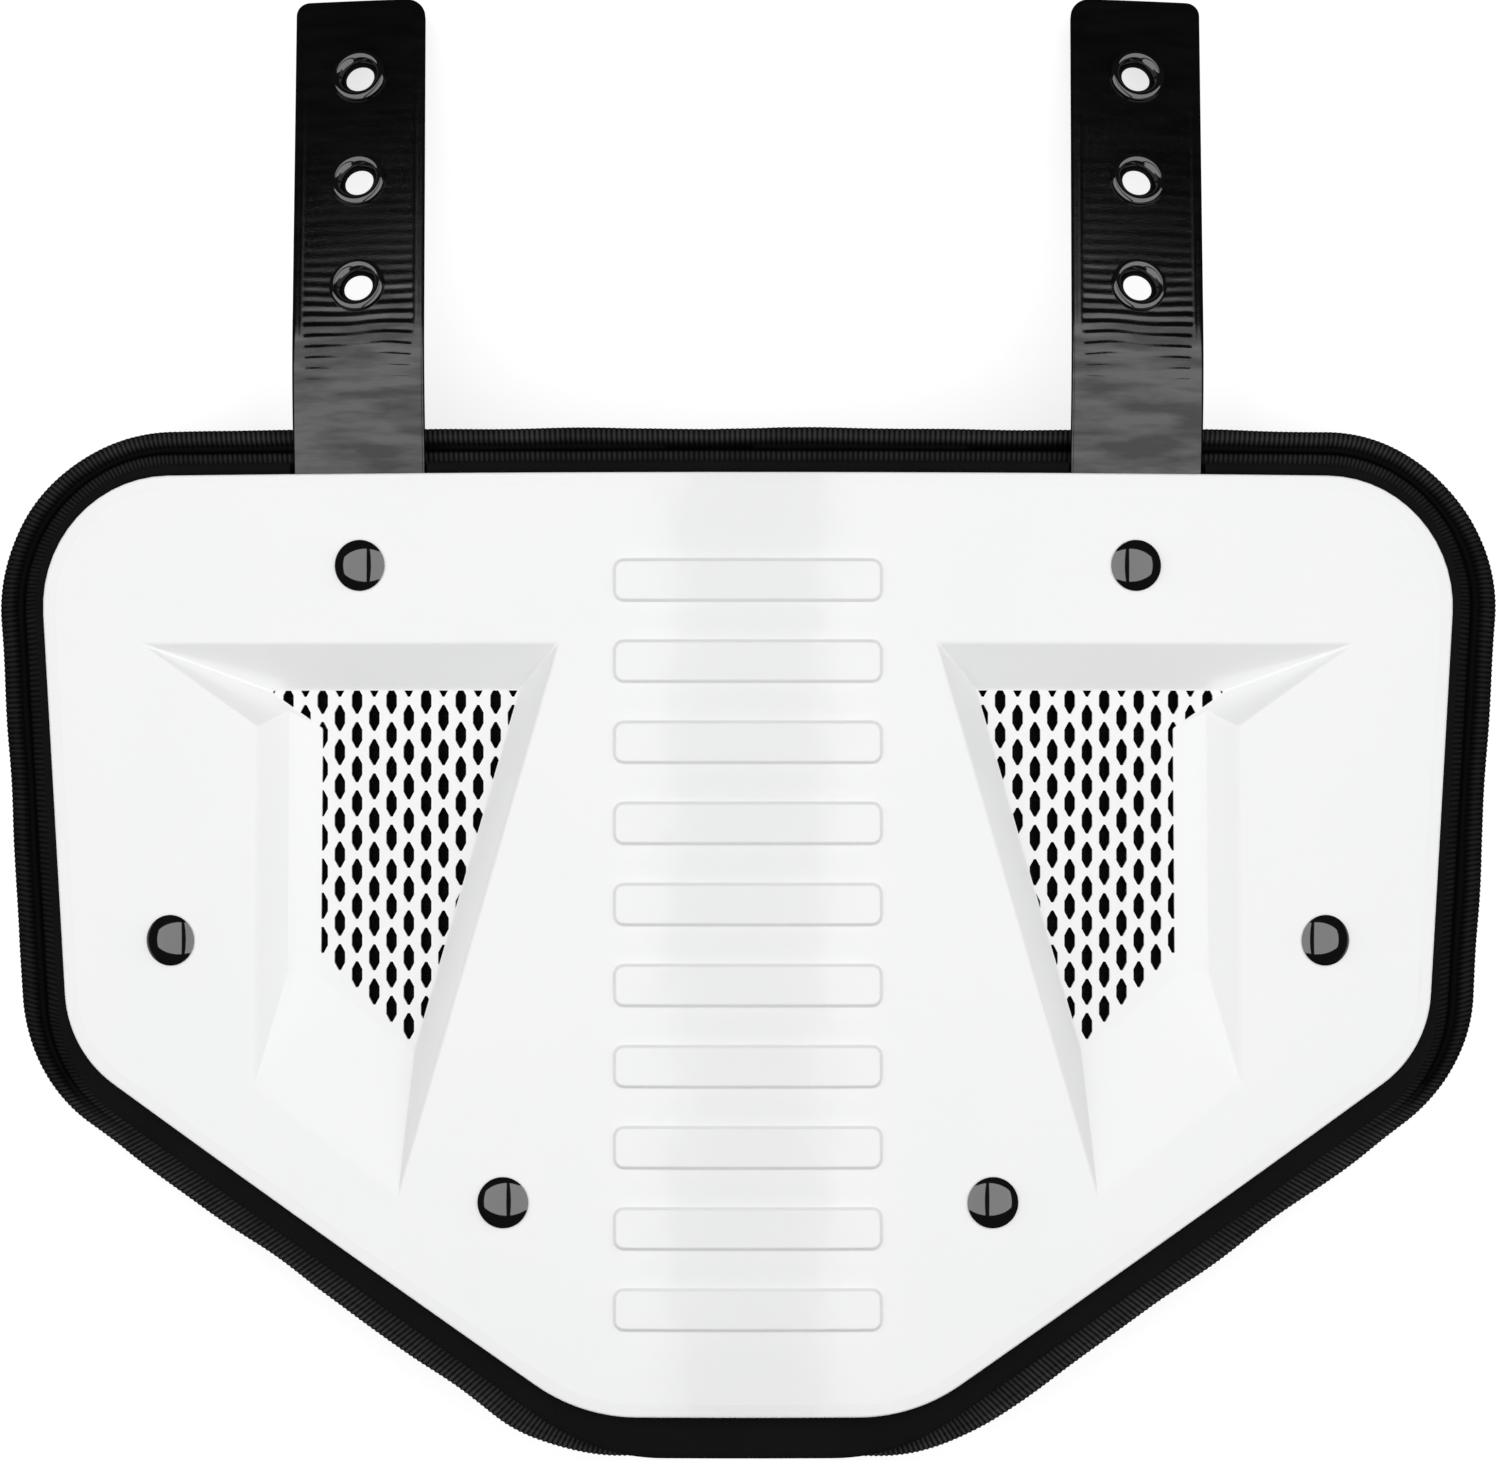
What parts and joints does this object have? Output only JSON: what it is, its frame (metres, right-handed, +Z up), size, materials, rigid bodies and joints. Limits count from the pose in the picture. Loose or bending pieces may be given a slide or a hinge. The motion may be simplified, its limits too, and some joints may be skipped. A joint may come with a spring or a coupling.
{
  "type": "football back plate",
  "caption": "Curved hard plate on a bound foam pad, with two recessed lattice vents, rivets, and two eyeleted straps that hang it from shoulder pads.",
  "frame": {"origin": "middle of the footprint, on the surface that the plate lies on", "axes": "+Z up out of the shell's face, +Y towards the straps, X across the back"},
  "size_m": [0.3272, 0.3164, 0.0492],
  "materials": {
    "shell_plastic": "glossy white moulded plastic",
    "pad_cover": "matt black close-knit cover over foam",
    "binding_tape": "ribbed black binding tape",
    "strap_plastic": "glossy black plastic with a cross-ribbed face",
    "eyelet_plastic": "glossy black",
    "rivet_enamel": "glossy black enamel"
  },
  "bodies": {
    "root": {"shell": "shell_plastic", "pad": "pad_cover", "edge_binding": "binding_tape", "strap_left": "strap_plastic", "strap_right": "strap_plastic", "eyelet_left_1": "eyelet_plastic", "eyelet_left_2": "eyelet_plastic", "eyelet_left_3": "eyelet_plastic", "eyelet_right_1": "eyelet_plastic", "eyelet_right_2": "eyelet_plastic", "eyelet_right_3": "eyelet_plastic", "rivet_top_left": "rivet_enamel", "rivet_side_left": "rivet_enamel", "rivet_bottom_left": "rivet_enamel", "rivet_top_right": "rivet_enamel", "rivet_side_right": "rivet_enamel", "rivet_bottom_right": "rivet_enamel"}
  },
  "joints": []
}
